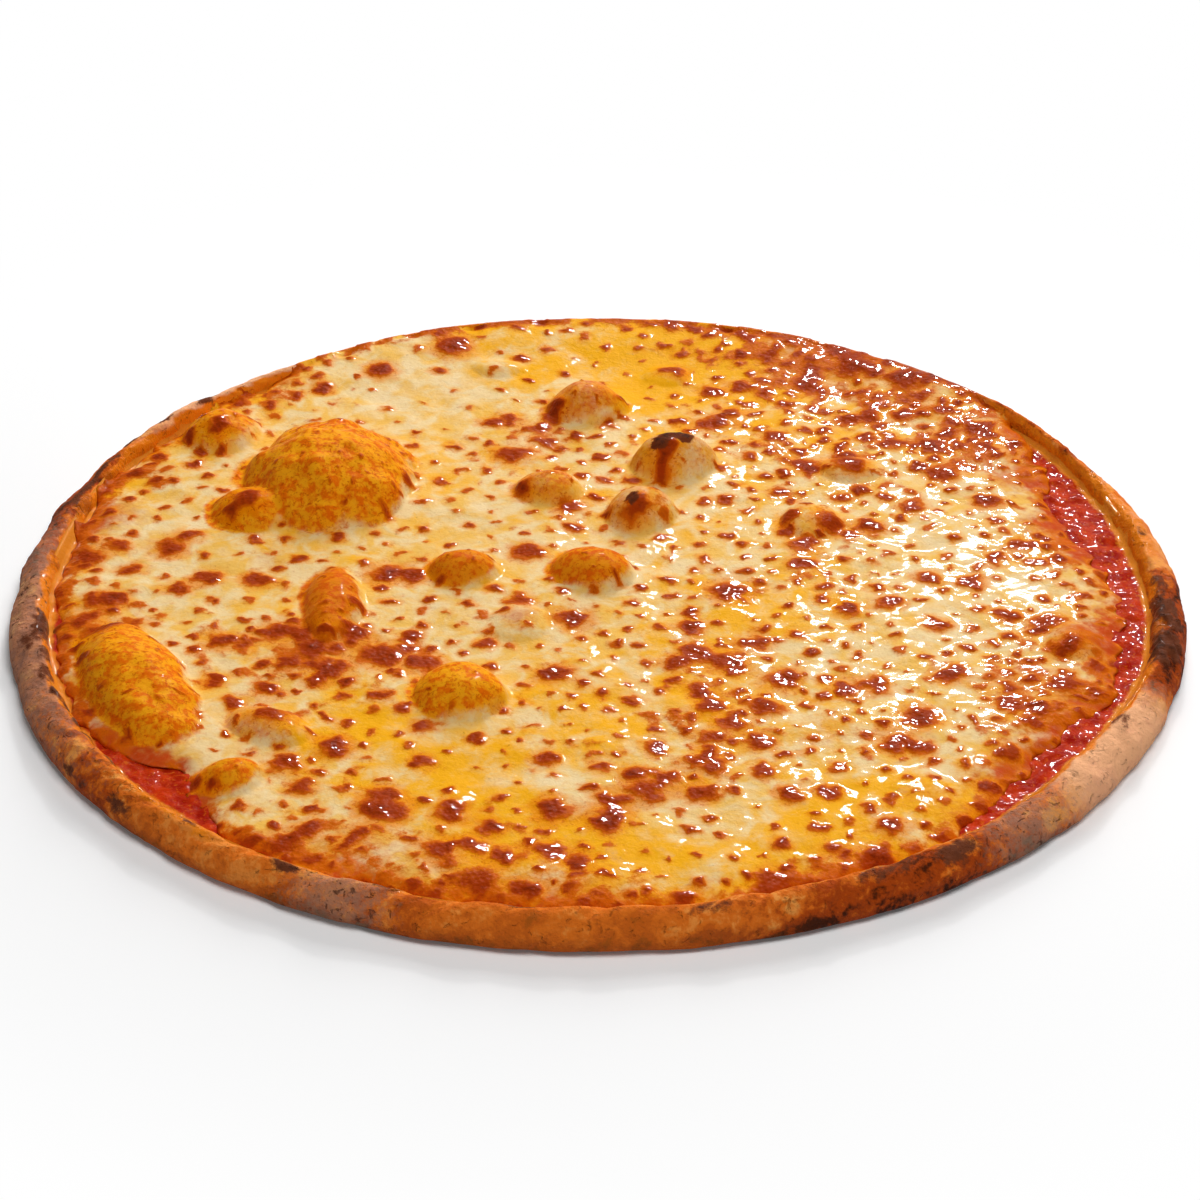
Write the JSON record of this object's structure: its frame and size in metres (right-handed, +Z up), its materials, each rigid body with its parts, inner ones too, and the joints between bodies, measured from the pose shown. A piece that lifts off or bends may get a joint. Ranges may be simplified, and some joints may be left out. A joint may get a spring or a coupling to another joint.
{
  "type": "margherita pizza",
  "caption": "Whole thin round pizza with a low crust rim, tomato sauce and blistered melted cheese, flat underneath.",
  "frame": {"origin": "centre of the pizza's flat underside, on the surface it rests on", "axes": "+Z up through the thickness, +X to the right and +Y to the back as served"},
  "size_m": [0.3091, 0.3091, 0.0209],
  "materials": {
    "crust": "baked dough, dry and floured, toasted and charred in spots",
    "sauce": "wet cooked tomato with a film of oil",
    "cheese": "melted cheese, oily, blistered and browned"
  },
  "bodies": {
    "root": {"dough_crust": "crust", "tomato_sauce": "sauce", "melted_cheese": "cheese"}
  },
  "joints": []
}
